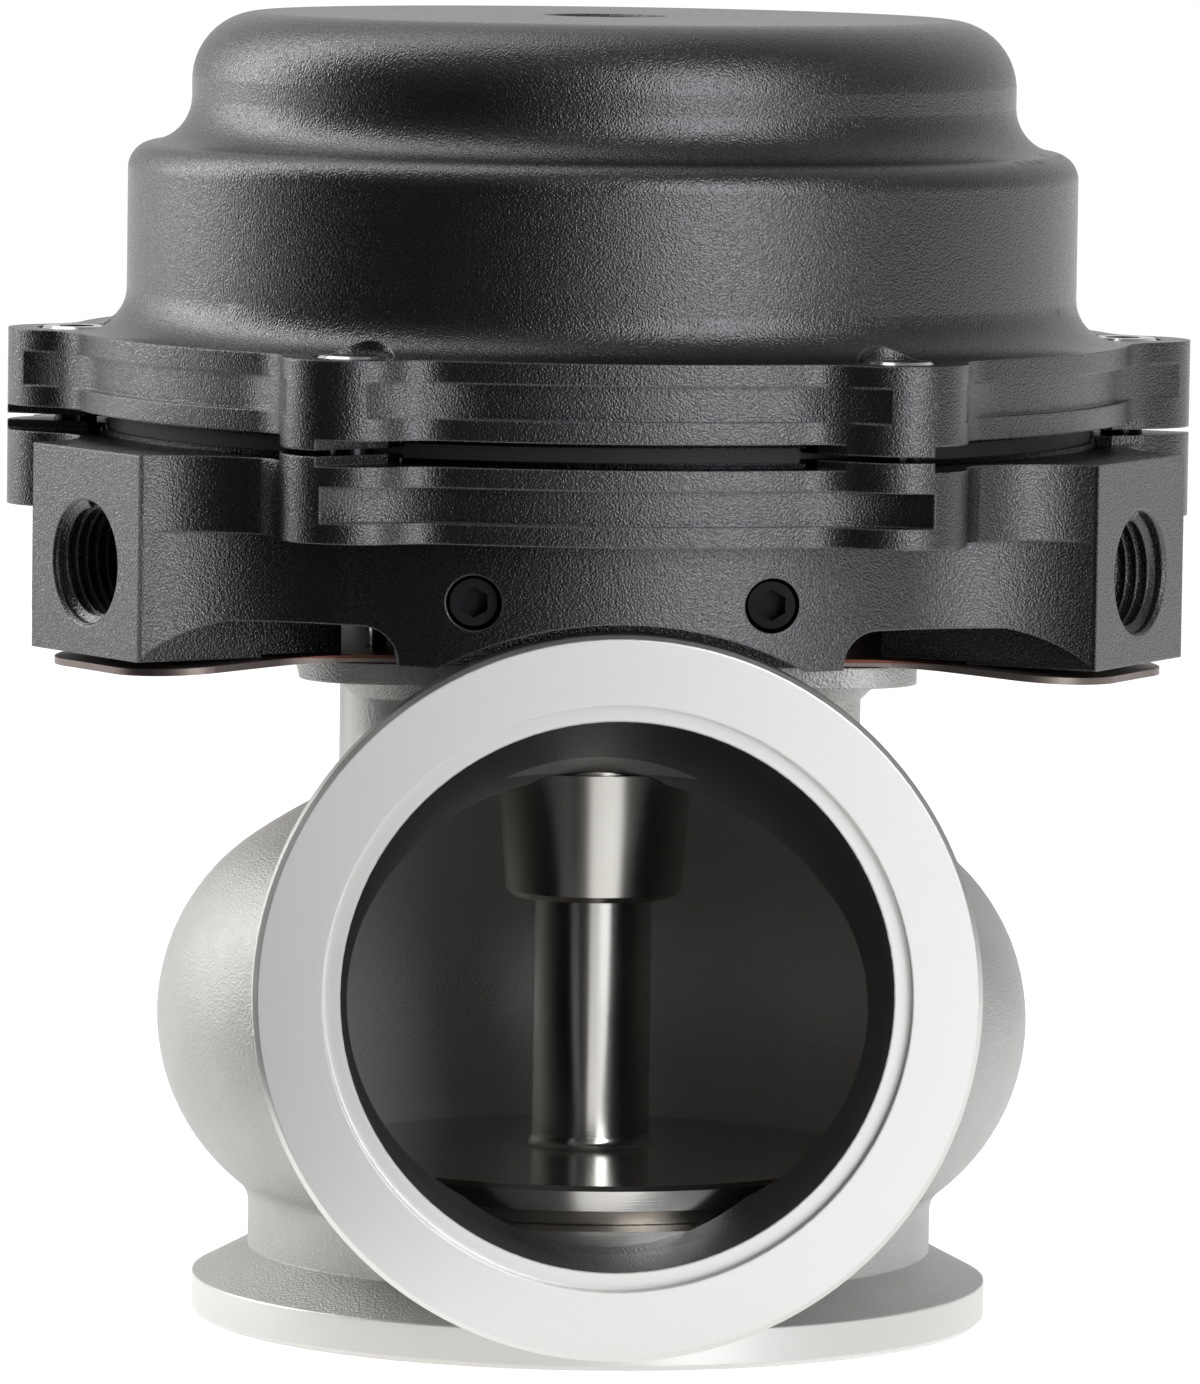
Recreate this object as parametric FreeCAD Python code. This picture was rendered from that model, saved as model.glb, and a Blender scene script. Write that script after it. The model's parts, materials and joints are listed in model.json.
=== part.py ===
import FreeCAD, Part
import math
import os

from FreeCAD import Vector

# Turbo wastegate: a poppet valve held shut by springs and opened by a diaphragm.
# Millimetres. Z up along the valve stem, origin in the middle of the inlet face,
# outlet towards -Y. Angles count from the outlet, anticlockwise from above.

# Clearances, each between two pieces
fit_press = 0.02
fit_slide = 0.05
fit_loose = 0.3
fit_face = 0.02
screw_hole_gap = 0.25
thread_end_gap = 0.3
overcut = 1.0

# Valve seat, a loose ring in the inlet
seat_throat_r = 20.6
seat_outer_r = seat_throat_r + 4.8
seat_lip_r = seat_outer_r + 2.0
seat_lip_h = 2.4
seat_top = 10.2
seat_face_h = 0.9

# Inlet V-band flange and neck
vband_cone_h = 2.4
vband_edge = 0.4
inlet_rim_h = 3.2
inlet_neck_r = seat_outer_r + 2.9
inlet_rim_r = inlet_neck_r + 4.6

# Valve chamber, a flattened round casting
chamber_r = inlet_neck_r + 7.7
chamber_half_h = 23.3
chamber_side_r = 17.5
chamber_z = 24.8
chamber_wall = 3.6
chamber_web_r = 2.5

# Outlet V-band flange and duct
outlet_bore_r = 22.0
outlet_wall = 2.6
outlet_rim_r = outlet_bore_r + 7.0
outlet_rim_h = 3.0
outlet_z = outlet_rim_r + 1.75
outlet_reach = chamber_r + 3.5
outlet_relief = 0.8
register_r = outlet_bore_r + 1.4
register_depth = 1.2
duct_straight = 11.5
duct_end_r = outlet_bore_r - 4.8
duct_end_y = 6.0

# Top neck and screw plate of the body, rounded squares
neck_half = 20.7
neck_corner_r = 5.0
plate_half = neck_half + 4.3
plate_corner_r = 6.5
plate_h = 1.7
plate_fillet = 1.6
body_top = outlet_z + outlet_rim_r - 3.75

# Valve, its stem shouldered and threaded
stem_r = 4.9
stem_thread_r = stem_r - 0.95
stem_root_fillet = 1.0
stem_chamfer = 0.4
valve_r = seat_throat_r + 2.15
valve_margin_low = seat_top + 1.3
valve_margin_h = 1.6
valve_face_h = 2.1
valve_crown = valve_margin_low + 2.6
valve_dish_r = 14.0
valve_dish_slope = 2.0
valve_dish_depth = 0.7
valve_lift = 12.0

# Guide pressed into the body roof
guide_root_z = chamber_z + chamber_half_h - 2.7
guide_tip_z = guide_root_z - 10.6
guide_tip_r = stem_r + 2.4
guide_root_r = stem_r + 3.2
guide_shank_r = stem_r + 1.7
guide_chamfer = 0.5
guide_spot_gap = 0.4
guide_spot_h = 3.0

# Chamber of the actuator, whose bore sets the size of both housings
chamber_bore_r = 36.0
diaphragm_t = 1.2
diaphragm_rim_r = chamber_bore_r + 4.6
diaphragm_rim_gap = 0.2
diaphragm_hole_r = stem_thread_r + 0.25
clamp_ring_wall = 0.6

# Six cap screws through the clamp flanges
cap_screw_r = 1.75
cap_head_r = 2.9
cap_head_h = 3.5
cap_head_proud = 0.15
cap_head_chamfer = 0.3
cap_hex_r = 1.6
cap_hex_depth = 1.8
cap_thread_depth = 6.4
cap_counterbore_r = cap_head_r + 0.35

# Lobed clamp flanges of both housings, relieved between the lobes
lobe_count = 6
lobe_first = 30.0
lobe_pitch_r = diaphragm_rim_r + cap_screw_r + 0.85
lobe_r = 5.6
lobe_web_r = 5.0
flange_side_r = lobe_pitch_r + 0.5
pad_turn = -2.7
pad_tip_half = 2.0
pad_root_half = 5.3
pad_gap = 0.5
groove_h = 2.8
groove_depth = 0.8
groove_cutter_r = 12.0
groove_sweep_low = 18.3
groove_sweep_top = 15.0

# Four port blocks
block_angles = (60.0, 120.0, 240.0, 300.0)
block_reach = lobe_pitch_r + lobe_r + 0.2
block_half = 8.4
block_inner_r = 30.0
block_step_r = 37.5
block_step = 0.25
block_land = 0.4
port_mouth_r = 5.15
port_bore_r = 4.9
port_depth = 9.5

# Gasket and heat shield between body and actuator
gasket_h = 0.2
gasket_inset = 0.5
shield_h = 0.55
shield_half = plate_half + 0.6
shield_arm_half = shield_half * 0.3828125
shield_arm_reach = block_reach - 0.4
shield_arm_tip_r = 6.0
shield_web_r = 9.0
shield_side_web_r = 5.0
shield_bend_r = 33.0
shield_droop = 0.95
stem_pass_r = stem_r + 4.6

# Heights of the actuator, from its foot up
housing_bottom = body_top + gasket_h + shield_h
lower_ceiling_z = housing_bottom + 3.05
passage_z = housing_bottom + 5.3
port_z = housing_bottom + 7.15
chamber_floor_z = housing_bottom + 8.65
lower_flange_z = housing_bottom + 10.15
clamp_z = housing_bottom + 17.25
lower_flange_top = clamp_z - 1.0
bell_flange_bottom = clamp_z + 1.05
bell_flange_top = clamp_z + 7.35
bell_ledge_z = clamp_z + 22.7
bell_top = clamp_z + 33.5

# Lower housing
lower_body_r = chamber_bore_r + 4.0
body_web_r = 18.0
flange_web_r = 10.0
pocket_flat_r = lower_body_r + 3.6
pocket_rim_r = block_reach + 0.75
pocket_rim_bulge = 0.37
bar_corner_r = 2.8
gland_r = stem_r + 4.1
gland_depth = 3.6
bushing_r = stem_r + 2.3
bushing_step = 0.4
stem_hole_gap = 0.6
seal_h = 2.2
seal_lip = 0.8
snap_h = 0.9
snap_inner_r = stem_r + 2.0
snap_gap = 3.0
passage_x = 11.8
passage_r = 1.4
passage_overrun = 0.5
plug_r = 2.18
plug_h = 4.4
plug_inset = 0.8
plug_chamfer = 0.3
plug_hex_r = 1.25
plug_hex_depth = 2.0

# Mounting screws, low heads sunk in the chamber floor
mount_screw_r = 2.5
mount_screw_xy = neck_half - mount_screw_r - 1.3
mount_thread_depth = 8.0
mount_thread_length = 7.4
mount_head_r = 4.25
mount_head_h = 2.7
mount_hex_r = 1.7
mount_hex_depth = 1.6
mount_washer_r = mount_head_r + 0.65
mount_washer_h = 0.9
mount_washer_gap = 0.1
mount_recess_r = mount_washer_r + 0.4
lower_bar_half = mount_screw_xy + 0.8

# Piston: the plates either side of the diaphragm, and the nut
stem_shoulder = chamber_floor_z + 1.3
lower_retainer_h = 2.5
upper_retainer_h = 2.6
skirt_outer_r = chamber_bore_r - 5.5
skirt_wall = 2.3
skirt_foot = 1.5
lower_retainer_r = skirt_outer_r - 5.0
lower_retainer_chamfer = 0.8
retainer_edge = 1.0
roll_outer_gap = 0.9
roll_inner_gap = 1.8
roll_steps = 6
hub_h = 3.0
washer_r = stem_thread_r + 4.05
washer_h = 1.5
nut_flats = 2 * stem_thread_r + 5.1
nut_h = 6.5
nut_crown = 0.6

# Springs, one inside the other
outer_wire = 4.0
outer_turns = 4.4
outer_spring_r = skirt_outer_r - skirt_wall - 0.6 - outer_wire / 2
inner_wire = 3.2
inner_turns = 5.4
inner_spring_r = outer_spring_r - outer_wire / 2 - inner_wire / 2 - 5.6
hub_r = inner_spring_r - inner_wire / 2 - 3.3

# Upper housing, a stepped bell
bell_wall = 3.1
bell_roof = 4.0
bell_lower_r = chamber_bore_r + bell_wall
bell_upper_r = bell_lower_r - 5.2
bell_ledge_r = bell_lower_r - 1.7
bell_flat_r = bell_upper_r - 5.3
bell_flare_r = 3.4
bell_crown_h = 5.3
bell_crown_bulge = 1.42
bell_neck_h = 3.7
bell_neck_bulge = -0.99
bell_ledge_h = 2.4
bell_ledge_bulge = 0.55
bell_inner_low = 6.1
bell_inner_high = 2.3
bell_inner_round = 2.5
bell_boss_r = inner_spring_r - inner_wire / 2 - 4.6

# Worked out from the sizes above
valve_cone_shift = valve_r - valve_margin_low
gasket_top = body_top + gasket_h
shield_top = housing_bottom
block_bottom = housing_bottom - block_step
retainer_top = stem_shoulder + lower_retainer_h
piston_z = retainer_top + diaphragm_t
spring_seat_z = piston_z + upper_retainer_h
skirt_top = spring_seat_z + 7.2
hub_top = spring_seat_z + hub_h
stem_top = hub_top + washer_h + nut_h + 2.0
bell_boss_z = stem_top + valve_lift + 1.6
bell_roof_z = bell_top - bell_roof
diaphragm_low = clamp_z - diaphragm_t / 2
diaphragm_high = clamp_z + diaphragm_t / 2
lobe_step = 360.0 / lobe_count


def spot(radius, angle, z=0.0):
    """Point at a radius and an angle."""
    turn = math.radians(angle - 90.0)
    return Vector(radius * math.cos(turn), radius * math.sin(turn), z)


def rz(radius, z):
    return Vector(radius, 0, z)


def arc(first, through, last):
    return Part.Arc(first, through, last).toShape()


def line(first, last):
    return Part.LineSegment(first, last).toShape()


def bulged(first, last, bulge):
    """Arc in the XZ plane whose middle stands out from its chord, away from the axis if positive."""
    chord = last - first
    across = Vector(-chord.z, 0, chord.x)
    if across.x < 0:
        across = across * -1
    through = (first + last) * 0.5 + across * (bulge / across.Length)
    return arc(first, through, last)


def lines(points):
    return [line(first, last) for first, last in zip(points, points[1:])]


def closed_face(edges):
    return Part.Face(Part.Wire(Part.__sortEdges__(edges)))


def revolve(edges):
    """Solid of revolution about the stem axis from a closed outline in the XZ plane."""
    return closed_face(edges).revolve(Vector(0, 0, 0), Vector(0, 0, 1), 360)


def turned(points):
    """Turned solid whose outline is straight from point to point."""
    places = [rz(r, z) for r, z in points]
    return revolve(lines(places + places[:1]))


def prism(wire, height):
    return Part.Face(wire).extrude(Vector(0, 0, height))


def cylinder(radius, low, high, at=Vector(0, 0, 0)):
    return Part.makeCylinder(radius, high - low, at + Vector(0, 0, low))


def ring(inner, outer, low, high):
    return cylinder(outer, low, high).cut(cylinder(inner, low, high))


def hex_prism(radius, low, high, at=Vector(0, 0, 0)):
    """Six-sided prism, radius to its corners."""
    corners = [at + spot(radius, 60 * k, low) for k in range(7)]
    return prism(Part.makePolygon(corners), high - low)


def rounded_square(half, corner_r, low, high):
    box = Part.makeBox(2 * half, 2 * half, high - low, Vector(-half, -half, low))
    upright = [e for e in box.Edges if abs(e.Vertexes[0].Z - e.Vertexes[1].Z) > 1e-6]
    return box.makeFillet(corner_r, upright)


def bottom_wire(solid, z):
    flat = [f for f in solid.Faces if abs(f.BoundBox.ZMax - z) < 1e-6]
    return flat[0].OuterWire


def turn_about_z(shape, angle):
    shape.rotate(Vector(0, 0, 0), Vector(0, 0, 1), angle)
    return shape


def lay_radially(shape, z):
    """Lays a solid made about Z so that its top looks towards the outlet, its axis at a height."""
    shape.rotate(Vector(0, 0, 0), Vector(1, 0, 0), 90)
    shape.translate(Vector(0, 0, z))
    return shape


def lobe_angles():
    return [lobe_first + k * lobe_step for k in range(lobe_count)]


def mount_places():
    signs = (-1, 1)
    return [Vector(x * mount_screw_xy, y * mount_screw_xy, 0) for x in signs for y in signs]


def vband_flange(rim_r, rim_h, neck_r):
    """V-band half: square rim on the joint face at z 0 and a cone down to the neck."""
    return turned(
        [
            (0, 0),
            (rim_r - vband_edge, 0),
            (rim_r, vband_edge),
            (rim_r, rim_h),
            (neck_r, rim_h + vband_cone_h),
            (0, rim_h + vband_cone_h),
        ]
    )


def oval_arcs(radius, half_h, side_r):
    """Crown arc and upper side arc of the flattened round chamber."""
    crown_r = ((radius - side_r) ** 2 + half_h**2 - side_r**2) / (2 * (half_h - side_r))
    lean = math.atan2(crown_r - half_h, radius - side_r)
    crown_turn = (math.pi / 2 + lean) / 2
    crown_centre = rz(0, chamber_z + half_h - crown_r)
    side_centre = rz(radius - side_r, chamber_z)
    over = crown_centre + rz(math.cos(crown_turn), math.sin(crown_turn)) * crown_r
    meet = side_centre + rz(math.cos(lean), math.sin(lean)) * side_r
    round_over = side_centre + rz(math.cos(lean / 2), math.sin(lean / 2)) * side_r
    crown = arc(rz(0, chamber_z + half_h), over, meet)
    side = arc(meet, round_over, rz(radius, chamber_z))
    return crown, side


def lower_side_arc(radius, side_r, foot):
    """Side arc of the chamber from its widest point down to a foot on the same circle."""
    centre = rz(radius - side_r, chamber_z)
    out = (foot - centre) * (1 / side_r) + rz(1, 0)
    return arc(rz(radius, chamber_z), centre + out * (side_r / out.Length), foot)


def cast_core():
    """Inlet flange, neck and chamber of the body as one turned solid."""
    side_centre = rz(chamber_r - chamber_side_r, chamber_z)
    web_x = inlet_neck_r + chamber_web_r
    drop = math.sqrt((chamber_side_r + chamber_web_r) ** 2 - (web_x - side_centre.x) ** 2)
    web_centre = rz(web_x, chamber_z - drop)
    share = chamber_side_r / (chamber_side_r + chamber_web_r)
    web_top = side_centre + (web_centre - side_centre) * share
    web_foot = rz(inlet_neck_r, web_centre.z)
    inward = (web_top + web_foot) * 0.5 - web_centre
    edges = list(oval_arcs(chamber_r, chamber_half_h, chamber_side_r))
    edges.append(lower_side_arc(chamber_r, chamber_side_r, web_top))
    edges.append(arc(web_top, web_centre + inward * (chamber_web_r / inward.Length), web_foot))
    edges += lines(
        [
            web_foot,
            rz(inlet_neck_r, inlet_rim_h + vband_cone_h),
            rz(inlet_rim_r, inlet_rim_h),
            rz(inlet_rim_r, vband_edge),
            rz(inlet_rim_r - vband_edge, 0),
            rz(0, 0),
            rz(0, chamber_z + chamber_half_h),
        ]
    )
    return revolve(edges)


def chamber_hollow():
    """Room inside the chamber, an even wall inside its upper half."""
    radius = chamber_r - chamber_wall
    side_r = chamber_side_r - chamber_wall
    pocket_r = seat_outer_r + fit_slide
    low_z = chamber_z - math.sqrt(side_r**2 - (pocket_r - radius + side_r) ** 2)
    foot = rz(pocket_r, low_z)
    edges = list(oval_arcs(radius, guide_root_z - chamber_z, side_r))
    edges.append(lower_side_arc(radius, side_r, foot))
    edges += lines([foot, rz(pocket_r, 0), rz(0, 0), rz(0, guide_root_z)])
    return revolve(edges)


def duct_core():
    """Outlet passage: round at the flange, drawn in towards the chamber roof."""
    start_y = outlet_reach - duct_straight
    end_z = guide_root_z - duct_end_r
    axis = Vector(0, -1, 0)
    outer = Part.Wire(Part.makeCircle(outlet_bore_r, Vector(0, -start_y, outlet_z), axis))
    inner = Part.Wire(Part.makeCircle(duct_end_r, Vector(0, -duct_end_y, end_z), axis))
    straight = lay_radially(cylinder(outlet_bore_r, start_y, outlet_reach + overcut), outlet_z)
    register = cylinder(register_r, outlet_reach - register_depth, outlet_reach + overcut)
    return straight.fuse([Part.makeLoft([inner, outer], True, True), lay_radially(register, outlet_z)])


def screw_plate():
    """Square neck of the body, flaring out to the plate the actuator sits on."""
    plate_low = body_top - plate_h
    flare_low = plate_low - plate_fillet
    neck = rounded_square(neck_half, neck_corner_r, chamber_z, flare_low)
    plate = rounded_square(plate_half, plate_corner_r, plate_low, body_top)
    wires = []
    for grow, z in ((0, flare_low), (plate_fillet, plate_low)):
        square = rounded_square(neck_half + grow, neck_corner_r + grow, z, z + 1)
        wires.append(bottom_wire(square, z))
    return neck.fuse([Part.makeLoft(wires, True, True), plate])


def make_valve_body():
    duct_r = outlet_bore_r + outlet_wall
    duct = lay_radially(cylinder(duct_r, 0, outlet_reach - outlet_rim_h), outlet_z)
    flange = vband_flange(outlet_rim_r, outlet_rim_h, duct_r)
    flange.rotate(Vector(0, 0, 0), Vector(1, 0, 0), -90)
    flange.translate(Vector(0, -outlet_reach, outlet_z))
    outer = cast_core().fuse([screw_plate(), duct, flange])
    guide_spot_r = guide_root_r + guide_spot_gap
    inner = chamber_hollow().fuse(
        [
            cylinder(seat_lip_r + fit_slide, 0, seat_lip_h + fit_face),
            duct_core(),
            cylinder(guide_spot_r, guide_root_z - guide_spot_h, guide_root_z),
            cylinder(guide_shank_r + fit_press, guide_root_z, body_top),
        ]
    )
    body = outer.cut(inner)
    for place in mount_places():
        hole = cylinder(mount_screw_r + fit_press, body_top - mount_thread_depth, body_top, place)
        body = body.cut(hole)
    return body.removeSplitter()


def make_valve_seat():
    return turned(
        [
            (seat_throat_r, 0),
            (seat_lip_r, 0),
            (seat_lip_r, seat_lip_h),
            (seat_outer_r, seat_lip_h),
            (seat_outer_r, seat_top),
            (seat_top + valve_cone_shift + fit_slide, seat_top),
            (seat_throat_r, seat_throat_r - valve_cone_shift - fit_slide),
        ]
    )


def make_valve():
    """Poppet valve in one piece, with a shouldered and threaded stem end."""
    margin_high = valve_margin_low + valve_margin_h
    face_r = valve_r - valve_face_h
    face_z = valve_margin_low - valve_face_h
    dish_z = face_z + valve_dish_depth
    root_z = valve_crown + stem_root_fillet
    root_r = stem_r + stem_root_fillet
    corner = stem_root_fillet * (1 - math.sqrt(0.5))
    edges = lines(
        [
            rz(0, dish_z),
            rz(valve_dish_r - valve_dish_slope, dish_z),
            rz(valve_dish_r, face_z),
            rz(face_r, face_z),
            rz(valve_r, valve_margin_low),
            rz(valve_r, margin_high),
            rz(valve_r - stem_chamfer, margin_high + stem_chamfer),
            rz(root_r, valve_crown),
        ]
    )
    through = rz(stem_r + corner, valve_crown + corner)
    edges.append(arc(rz(root_r, valve_crown), through, rz(stem_r, root_z)))
    edges += lines(
        [
            rz(stem_r, root_z),
            rz(stem_r, stem_shoulder),
            rz(stem_thread_r, stem_shoulder),
            rz(stem_thread_r, stem_top - stem_chamfer),
            rz(stem_thread_r - stem_chamfer, stem_top),
            rz(0, stem_top),
            rz(0, dish_z),
        ]
    )
    return revolve(edges)


def make_valve_guide():
    bore = stem_r + fit_slide
    root_z = guide_root_z - fit_face
    return turned(
        [
            (bore, guide_tip_z),
            (guide_tip_r - guide_chamfer, guide_tip_z),
            (guide_tip_r, guide_tip_z + guide_chamfer),
            (guide_root_r, root_z),
            (guide_shank_r, root_z),
            (guide_shank_r, body_top),
            (bore, body_top),
        ]
    )


def make_body_gasket():
    gasket = rounded_square(plate_half - gasket_inset, plate_corner_r, body_top, gasket_top)
    gasket = gasket.cut(cylinder(stem_pass_r, body_top, gasket_top))
    for place in mount_places():
        hole = cylinder(mount_screw_r + screw_hole_gap, body_top, gasket_top, place)
        gasket = gasket.cut(hole)
    return gasket


def upright_at(edge, x, y, tolerance=0.001):
    """True for an upright edge at plus or minus x and y."""
    first, last = edge.Vertexes[0].Point, edge.Vertexes[-1].Point
    if math.hypot(first.x - last.x, first.y - last.y) > 1e-6:
        return False
    return abs(abs(first.x) - x) < tolerance and abs(abs(first.y) - y) < tolerance


def shield_outline(low, high):
    """Plan of the shield: a square plate with four round-cornered arms."""
    height = high - low
    plate = Part.makeBox(2 * shield_half, 2 * shield_half, height, Vector(-shield_half, -shield_half, low))
    for angle in block_angles:
        start = Vector(-shield_arm_half, -shield_arm_reach, low)
        arm = Part.makeBox(2 * shield_arm_half, shield_arm_reach, height, start)
        tips = [e for e in arm.Edges if upright_at(e, shield_arm_half, shield_arm_reach)]
        arm = arm.makeFillet(shield_arm_tip_r, tips)
        plate = plate.fuse(turn_about_z(arm, angle))
    plate = plate.removeSplitter()
    lean = math.radians(block_angles[0])
    front_x = shield_half * math.tan(lean) - shield_arm_half / math.cos(lean)
    front = [e for e in plate.Edges if upright_at(e, front_x, shield_half)]
    plate = plate.makeFillet(shield_web_r, front)
    side_y = abs(shield_arm_half / math.sin(lean) - shield_half / math.tan(lean))
    sides = [e for e in plate.Edges if upright_at(e, shield_half, side_y)]
    return plate.makeFillet(shield_side_web_r, sides)


def make_heat_shield():
    """Thin pressed plate with four arms that droop away under the port blocks."""
    reach = block_reach
    fall = shield_droop * (reach - shield_bend_r) / (shield_arm_reach - shield_bend_r)
    sheet = turned(
        [
            (stem_pass_r, gasket_top),
            (shield_bend_r, gasket_top),
            (reach, gasket_top - fall),
            (reach, shield_top - fall),
            (shield_bend_r, shield_top),
            (stem_pass_r, shield_top),
        ]
    )
    shield = sheet.common(shield_outline(gasket_top - fall, shield_top))
    for place in mount_places():
        hole = cylinder(mount_screw_r + screw_hole_gap, gasket_top, shield_top, place)
        shield = shield.cut(hole)
    return shield


def lobed_wire(z):
    """Clamp flange outline: round sides joined to six screw lobes by concave webs."""
    reach = flange_side_r + lobe_web_r
    span = lobe_r + lobe_web_r
    cosine = (reach**2 + lobe_pitch_r**2 - span**2) / (2 * reach * lobe_pitch_r)
    spread = math.degrees(math.acos(cosine))
    edges = []
    for angle in lobe_angles():
        boss = spot(lobe_pitch_r, angle, z)
        webs = [spot(reach, angle + side * spread, z) for side in (-1, 1)]
        tangents = [boss + (web - boss) * (lobe_r / span) for web in webs]
        edges.append(arc(tangents[0], boss + spot(lobe_r, angle), tangents[1]))
        for side, web, tangent in zip((-1, 1), webs, tangents):
            foot = spot(flange_side_r, angle + side * spread, z)
            inward = (tangent + foot) * 0.5 - web
            edges.append(arc(tangent, web + inward * (lobe_web_r / inward.Length), foot))
        start = spot(flange_side_r, angle + spread, z)
        middle = spot(flange_side_r, angle + lobe_step / 2, z)
        edges.append(arc(start, middle, spot(flange_side_r, angle + lobe_step - spread, z)))
    return Part.Wire(Part.__sortEdges__(edges))


def lobed_slab(low, high):
    return prism(lobed_wire(low), high - low)


def clamp_pads(low, high):
    """Raised pads at the lobes, narrower at their tips, that all but meet the other flange."""
    root_x = diaphragm_rim_r
    tip_x = lobe_pitch_r + lobe_r
    pads = []
    for angle in lobe_angles():
        corners = [
            spot(root_x, 0, low) + Vector(-pad_root_half, 0, 0),
            spot(tip_x, 0, low) + Vector(-pad_tip_half, 0, 0),
            spot(tip_x, 0, low) + Vector(pad_tip_half, 0, 0),
            spot(root_x, 0, low) + Vector(pad_root_half, 0, 0),
        ]
        pad = prism(Part.makePolygon(corners + corners[:1]), high - low)
        pads.append(turn_about_z(pad, angle + pad_turn))
    return pads[0].fuse(pads[1:]).common(lobed_slab(low, high))


def clamp_lip(low, high):
    return ring(chamber_bore_r, diaphragm_rim_r + clamp_ring_wall, low, high)


def side_groove(middle_angle, sweep, low):
    """Cutter path of one flange groove: a ring sector with a round cutter at each end."""
    floor_r = flange_side_r - groove_depth
    outer_r = floor_r + 2 * groove_cutter_r
    corners = [
        Vector(0, 0, low),
        spot(2 * outer_r, middle_angle - sweep, low),
        spot(2 * outer_r, middle_angle + sweep, low),
    ]
    wedge = prism(Part.makePolygon(corners + corners[:1]), groove_h)
    sector = ring(floor_r, outer_r, low, low + groove_h).common(wedge)
    for side in (-1, 1):
        centre = spot(floor_r + groove_cutter_r, middle_angle + side * sweep)
        sector = sector.fuse(cylinder(groove_cutter_r, low, low + groove_h, centre))
    return sector


def block_box(angle, inner_r, low, high):
    start = Vector(-block_half, -block_reach, low)
    block = Part.makeBox(2 * block_half, block_reach - inner_r, high - low, start)
    return turn_about_z(block, angle)


def block_web(angle, side, wall_r, web_r, low, high):
    """Concave web from a round wall to the front corner of a block."""
    corner = spot(block_reach - block_land, angle, low) + spot(side * block_half, angle + 90)
    corner_r = math.hypot(corner.x, corner.y)
    reach = wall_r + web_r
    cosine = (reach**2 + corner_r**2 - web_r**2) / (2 * reach * corner_r)
    corner_angle = angle + side * math.degrees(math.atan2(block_half, block_reach - block_land))
    centre_angle = corner_angle + side * math.degrees(math.acos(cosine))
    centre = spot(reach, centre_angle, low)
    foot = spot(wall_r, centre_angle, low)
    inward = (foot + corner) * 0.5 - centre
    through = centre + inward * (web_r / inward.Length)
    axis = Vector(0, 0, low)
    face = closed_face([line(axis, foot), arc(foot, through, corner), line(corner, axis)])
    return face.extrude(Vector(0, 0, high - low))


def block_ring(wall_r, web_r, low, high):
    """Four port blocks and the concave webs that join them to a round wall."""
    solids = []
    for angle in block_angles:
        solids.append(block_box(angle, block_inner_r, low, high))
        for side in (-1, 1):
            solids.append(block_web(angle, side, wall_r, web_r, low, high))
    return solids


def centre_bar():
    """Bar left under the housing, with rounded inner corners to the milled ceiling."""
    half = lower_bar_half
    turn = bar_corner_r * (1 - math.sqrt(0.5))
    top = lower_ceiling_z + overcut
    edges = []
    for side in (-1, 1):
        wall = Vector(side * half, 0, lower_ceiling_z - bar_corner_r)
        through = Vector(side * (half + turn), 0, lower_ceiling_z - turn)
        over = Vector(side * (half + bar_corner_r), 0, lower_ceiling_z)
        edges.append(line(Vector(side * half, 0, housing_bottom), wall))
        edges.append(arc(wall, through, over))
        edges.append(line(over, Vector(over.x, 0, top)))
    for reach, z in ((half, housing_bottom), (half + bar_corner_r, top)):
        edges.append(line(Vector(-reach, 0, z), Vector(reach, 0, z)))
    face = closed_face(edges)
    face.translate(Vector(0, -block_reach, 0))
    return face.extrude(Vector(0, 2 * block_reach, 0))


def underside_pocket():
    """Room milled up into the underside, around the centre bar and the blocks."""
    low = block_bottom - overcut
    rim = rz(pocket_rim_r, block_bottom)
    flat_end = rz(pocket_flat_r, lower_ceiling_z)
    edges = lines([rim, rz(pocket_rim_r, low), rz(0, low), rz(0, lower_ceiling_z), flat_end])
    edges.append(bulged(flat_end, rim, pocket_rim_bulge))
    kept = [centre_bar()]
    for angle in block_angles:
        kept.append(block_box(angle, block_inner_r, housing_bottom, lower_flange_z))
        kept.append(block_box(angle, block_step_r, block_bottom, lower_flange_z))
    return revolve(edges).cut(kept)


def port_cut(angle):
    """One side port: a tapped bore with a chamfered mouth."""
    mouth = port_mouth_r - port_bore_r
    low = block_reach - port_depth
    tool = turned(
        [
            (0, low),
            (port_bore_r, low),
            (port_bore_r, block_reach - mouth),
            (port_mouth_r, block_reach),
            (port_mouth_r, block_reach + overcut),
            (0, block_reach + overcut),
        ]
    )
    return turn_about_z(lay_radially(tool, port_z), angle)


def passage_cuts():
    """Drilled passages: one along Y behind each plug, and one in from each port."""
    crossing_y = passage_x / math.tan(math.radians(60))
    start_y = -lower_body_r - overcut
    plug_bottom_y = plug_h + plug_inset - math.sqrt(lower_body_r**2 - passage_x**2)
    along = Vector(0, 1, 0)
    cuts = []
    for side in (-1, 1):
        start = Vector(side * passage_x, start_y, passage_z)
        cuts.append(Part.makeCylinder(passage_r, crossing_y - start_y, start, along))
        cuts.append(Part.makeCylinder(plug_r + fit_press, plug_bottom_y - start_y, start, along))
    for angle in block_angles:
        outer = spot(block_reach - port_depth + passage_overrun, angle, passage_z)
        inner_x = math.copysign(passage_x, outer.x)
        inner = Vector(inner_x, math.copysign(crossing_y, outer.y), passage_z)
        cuts.append(Part.makeCylinder(passage_r, (outer - inner).Length, inner, outer - inner))
    signal = Vector(-passage_x, -crossing_y, 0)
    cuts.append(cylinder(passage_r, passage_z, chamber_floor_z + overcut, signal))
    return cuts[0].fuse(cuts[1:])


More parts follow.
